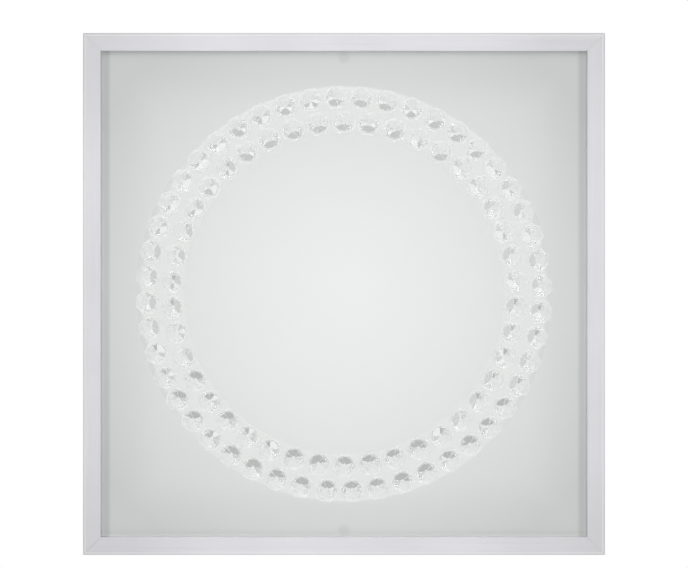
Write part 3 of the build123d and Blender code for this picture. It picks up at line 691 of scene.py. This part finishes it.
def revolved(profile: np.ndarray, count: int) -> tuple[np.ndarray, list[list[int]]]:
    """A closed surface of turning: vertex (k, i) is profile point i turned by k / count of a full turn about z.

    Args:
        profile: radius and height of each point of a closed loop, anticlockwise with z upwards.
        count: number of steps round the turn.

    Returns:
        The points, and four-sided faces that look outwards.
    """
    angles = 2 * math.pi * np.arange(count)[:, None] / count
    radius, height = profile.T
    points = np.stack([radius * np.cos(angles), radius * np.sin(angles), height + 0 * angles], axis=-1)
    at = np.arange(count * len(profile)).reshape(count, -1)
    round_, along = np.roll(at, -1, axis=0), np.roll(at, -1, axis=1)
    faces = np.stack([at, round_, np.roll(round_, -1, axis=1), along], axis=-1)
    return points.reshape(-1, 3), faces.reshape(-1, 4).tolist()


@dataclass
class Band:
    """The band under the crystals, flat under the rows and running out softly to both of its rims."""

    node: str = "crystal_band"
    inner: float = 88.63 * MM
    outer: float = 115.67 * MM
    pane_z: float = -53.4 * MM
    thickness: float = 0.6 * MM
    rim: float = 3.0 * MM
    rim_steps: int = 12
    round_steps: int = 240

    def build(self) -> None:
        """Across each rim the height rises from the pane as half a cosine wave, to the band's thickness."""
        step = np.linspace(0.0, 1.0, self.rim_steps + 1)
        rise = self.pane_z - self.thickness * (1 - np.cos(math.pi * step)) / 2
        front = np.concatenate([np.stack([self.inner + self.rim * step, rise], axis=1),
                                np.stack([self.outer - self.rim * step, rise], axis=1)[::-1]])
        piece = add_piece(self.node + "_soft", *revolved(front, self.round_steps))
        piece.data.materials.append(FINISHES["clear_band"].material())
        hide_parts(self.node)
        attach(piece, "cover")
        LOG.info("softened the rims of %s", self.node)


@dataclass(frozen=True)
class Cut:
    """The cut of one crystal: rings of corners from the table, which faces the eye, to the small flat back.

    Each ring is its radius and its height towards the eye, in millimetres, and whether it is turned by half
    a side. Between two rings turned alike the facets are flat trapezia, otherwise triangles. Ground says
    whether they are left finely ground, from one ring to the next.
    """

    rings: tuple[tuple[float, float, bool], ...] = (
        (5.30, 0.55, True), (6.95, 0.15, False), (6.95, -0.15, False), (6.0, -0.35, False), (1.0, -4.40, False))
    ground: tuple[bool, ...] = (True, True, True, False)
    sides: int = 8

    def points(self) -> np.ndarray:
        """Corner k of a ring stands at (k + 1/2) / sides of a full turn, and half a side later in a turned ring.

        Returns:
            x, y and z of every corner in metres, ring after ring, about the middle of the girdle.
        """
        radius, height, turned = np.array(self.rings).T[:, :, None]
        angles = 2 * math.pi * (np.arange(self.sides) + 0.5 + turned / 2) / self.sides
        grid = np.stack([radius * np.cos(angles), radius * np.sin(angles), -height + 0 * angles], axis=-1)
        return grid.reshape(-1, 3) * MM

    def faces(self) -> list[list[int]]:
        """The table, the facets between each ring and the next, and the back."""
        count, last = self.sides, self.sides * (len(self.rings) - 1)
        faces = [list(range(count - 1, -1, -1)), [last + k for k in range(count)]]
        for row, (upper, lower) in enumerate(zip(self.rings, self.rings[1:])):
            near, far = row * count, (row + 1) * count
            for k in range(count):
                after = (k + 1) % count
                if upper[2] == lower[2]:
                    faces.append([near + k, near + after, far + after, far + k])
                elif lower[2]:
                    faces += [[near + k, near + after, far + k], [near + after, far + after, far + k]]
                else:
                    faces += [[near + k, far + after, far + k], [near + k, near + after, far + after]]
        return faces

    def polished(self) -> list[bool]:
        """Whether each face is polished, in the order of the faces; the others are left finely ground."""
        flags = [True, True]
        for upper, lower, ground in zip(self.rings, self.rings[1:], self.ground):
            flags += [not ground] * (self.sides if upper[2] == lower[2] else 2 * self.sides)
        return flags


@dataclass
class Crystals:
    """The two rows of cut crystals glued to the band, each a little out of line with the next.

    A row is its node, its radius, its count and the place of its first crystal. Angles are in degrees. The
    lean is about the tangent of the row and the sway about its radius.
    """

    rows: tuple[tuple[str, float, int, float], ...] = (
        ("crystals_outer_row", 109.0 * MM, 48, 5.1), ("crystals_inner_row", 95.3 * MM, 42, 4.2))
    middle_z: float = -58.5 * MM
    lean: float = -6.0
    lean_spread: float = 3.5
    sway_spread: float = 5.0
    twist_spread: float = 7.0
    seed: int = 8
    cut: Cut = Cut()

    def build(self) -> None:
        """Make each row in place of the plain one of the CAD."""
        chance = np.random.default_rng(self.seed)
        for name, radius, count, start in self.rows:
            self.row(name, radius, count, math.radians(start), chance)

    def row(self, name: str, radius: float, count: int, start: float, chance: np.random.Generator) -> None:
        """Make one row: each crystal is twisted, leant and swayed, then set at its station on the circle.

        Args:
            name: the CAD node that the row replaces.
            radius: of the circle through the crystals' middles.
            count: number of crystals.
            start: angle of the first one from +X.
            chance: source of the small differences.
        """
        spread = np.array([self.twist_spread, self.lean_spread, self.sway_spread])
        twist, lean, sway = np.radians(chance.uniform(-1, 1, (count, 3)) * spread + (0.0, self.lean, 0.0)).T
        own = turns(sway, 0) @ turns(lean, 1) @ turns(twist, 2)
        stations = turns(start + 2 * math.pi * np.arange(count) / count, 2)
        shape, facets = self.cut.points(), self.cut.faces()
        points = np.einsum("kij,pj->kpi", own, shape) + (radius, 0.0, 0.0)
        points = np.einsum("kij,kpj->kpi", stations, points) + (0.0, 0.0, self.middle_z)
        faces = [[corner + k * len(shape) for corner in facet] for k in range(count) for facet in facets]
        piece = add_piece(name + "_cut", points.reshape(-1, 3), faces)
        for finish in (GROUND_GLASS, FINISHES["crystal_glass"]):
            piece.data.materials.append(finish.material())
        piece.data.polygons.foreach_set("material_index", [int(flag) for flag in self.cut.polished()] * count)
        # Light passes through clear glass, which shadows without caustics would not show.
        piece.visible_shadow = piece.visible_diffuse = False
        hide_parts(name)
        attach(piece, "cover")
        LOG.info("cut %d crystals for %s", count, name)


# Studio


@dataclass
class Studio:
    """The pale floor, the soft lamps, the world and the camera.

    A card is its name, x, y, radius and brightness, and a lamp is what lamp() takes. The lens and the sensor
    are in millimetres, and px are pixels of the photograph.
    """

    floor_z: float = -1.6
    floor_radius: float = 14.0
    floor_colour: Colour = (0.80, 0.80, 0.80)
    floor_seen: Colour = (0.96, 0.96, 0.96)
    floor_fade: Range = (1.0, 5.0)
    disc_sides: int = 96
    cards: tuple[tuple[str, float, float, float, float], ...] = (
        ("card_middle", 0.0, 0.0, 0.7, 0.87), ("card_lower", 0.0, 0.86, 0.62, 0.46),
        ("card_left", -0.84, 0.12, 0.38, 0.62), ("card_right", 0.84, 0.12, 0.38, 0.65),
        ("card_upper", 0.0, -0.78, 0.42, 0.56))
    card_colour: Colour = (0.965, 1.0, 0.98)
    card_gap: float = 0.01
    white: float = 1.0
    fill: float = 0.92
    bounces: tuple[tuple[str, int], ...] = (
        ("max_bounces", 24), ("glossy_bounces", 16), ("transmission_bounces", 20), ("diffuse_bounces", 6))
    image_width_px: int = 688
    face_px: float = 522.2
    face_centre_y_px: float = 294.0
    image_centre_y_px: float = 284.0
    lens: float = 100.0
    sensor: float = 36.0
    lamps: tuple[tuple[str, Point, float, float, bool], ...] = (
        ("lamp_upper_left", (-0.57, -1.22, -1.15), 1.15, 4.75, False),
        ("lamp_upper_right", (0.57, -1.22, -1.15), 1.15, 4.75, False),
        ("lamp_lower", (0.1, 1.2, -1.0), 0.9, 4.9, True),
        ("lamp_overhead", (-0.6, -0.8, 1.5), 1.2, 5.0, True))

    def build(self) -> None:
        """Set up everything around the light."""
        self.view_settings()
        self.world()
        self.floor()
        for index, (name, x, y, radius, glow) in enumerate(self.cards):
            self.card(name, (x, y, self.floor_z + self.card_gap * (index + 1)), radius, glow)
        for lamp in self.lamps:
            self.lamp(*lamp)
        self.camera()

    def view_settings(self) -> None:
        """Plain colour, and enough bounces for light inside the crystals."""
        scene = bpy.context.scene
        scene.view_settings.view_transform = "Standard"
        for kind, count in self.bounces:
            setattr(scene.cycles, kind, count)

    def world(self) -> None:
        """White where the camera and the metal see it, and a softer white as the light of the room."""
        graph = Graph(bpy.data.worlds.new("room"), "ShaderNodeOutputWorld")
        rays = graph.node("ShaderNodeLightPath").outputs
        seen = graph.math("MAXIMUM", rays["Is Camera Ray"], rays["Is Glossy Ray"])
        soft = graph.emission(WHITE, self.fill, "ShaderNodeBackground")
        white = graph.emission(WHITE, self.white, "ShaderNodeBackground")
        bpy.context.scene.world = graph.surface(graph.mix(seen, soft, white))

    def disc(self, name: str, middle: Point, radius: float) -> bpy.types.Object:
        """A flat round piece of the studio at a height, seen from both sides.

        Args:
            name: its name.
            middle: where its middle is.
            radius: its radius.

        Returns:
            The new object, without a material.
        """
        angles = np.linspace(0.0, 2 * math.pi, self.disc_sides, endpoint=False)
        points = np.stack([radius * np.cos(angles), radius * np.sin(angles), 0 * angles], axis=1) + middle
        made = add_piece(name, points, [list(range(angles.size))])
        return made

    def floor(self) -> None:
        """A round pale floor well below the light, whiter to the camera and white where it meets the room."""
        graph = Graph(bpy.data.materials.new("floor"))
        seen = graph.node("ShaderNodeLightPath").outputs["Is Camera Ray"]
        x, y, _ = graph.axes()
        fade = graph.spread(graph.distance(x, y), 0.0, 1.0, *self.floor_fade, smooth=True)
        near = graph.principled({"Base Color": graph.blend(seen, self.floor_colour, self.floor_seen),
                                 "Roughness": 0.9, "Specular IOR Level": 0.0})
        mix = graph.mix(graph.math("MULTIPLY", seen, fade), near, graph.emission(WHITE, self.white))
        self.disc("floor", (0.0, 0.0, self.floor_z), self.floor_radius).data.materials.append(graph.surface(mix))

    def card(self, name: str, middle: Point, radius: float, glow: float) -> None:
        """A white or grey card below the light that shows only through the clear glass, for its contrast.

        Args:
            name: its name.
            middle: where its middle is.
            radius: its radius.
            glow: its brightness.
        """
        graph = Graph(bpy.data.materials.new(name))
        card = self.disc(name, middle, radius)
        card.data.materials.append(graph.surface(graph.emission(self.card_colour, glow)))
        card.visible_camera = card.visible_diffuse = card.visible_glossy = card.visible_shadow = False

    def lamp(self, name: str, place: Point, size: float, power: float, mirrored: bool) -> None:
        """A square soft lamp that faces the middle of the light.

        Args:
            name: the lamp's name.
            place: where it stands.
            size: the length of its side.
            power: its power in watts.
            mirrored: whether rays that leave a surface may find it, besides those that aim at it.
        """
        data = bpy.data.lights.new(name, "AREA")
        data.shape = "SQUARE"
        data.size = size
        data.energy = power
        lamp = bpy.data.objects.new(name, data)
        lamp.visible_transmission = False
        lamp.location = place
        lamp.rotation_euler = (-Vector(place)).to_track_quat("-Z", "Y").to_euler()
        data.cycles.use_multiple_importance_sampling = mirrored
        bpy.context.scene.collection.objects.link(lamp)

    def camera(self) -> None:
        """Look straight up at the face, as far off as makes it as wide as in the photograph."""
        low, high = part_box("frame_rail_front")
        width = high.x - low.x
        distance = self.image_width_px * self.lens / self.sensor * width / self.face_px
        data = bpy.data.cameras.new("camera")
        data.lens = self.lens
        data.sensor_width = self.sensor
        camera = bpy.data.objects.new("camera", data)
        offset = (self.image_centre_y_px - self.face_centre_y_px) * width / self.face_px
        camera.location = (0.0, offset, low.z - distance)
        camera.rotation_euler = (math.pi, 0.0, 0.0)
        bpy.context.scene.collection.objects.link(camera)
        bpy.context.scene.camera = camera


def dress_by_slot() -> None:
    """Give every CAD node the finish of its material slot."""
    for part in frame["record"]["subparts"]:
        dress(part["node"], FINISHES[part["material_slot"]])


def main() -> None:
    """Build the light and its studio in order."""
    logging.basicConfig(level=logging.INFO)
    dress_by_slot()
    Rails().build()
    Band().build()
    Crystals().build()
    Studio().build()


if __name__ == "__main__":
    main()
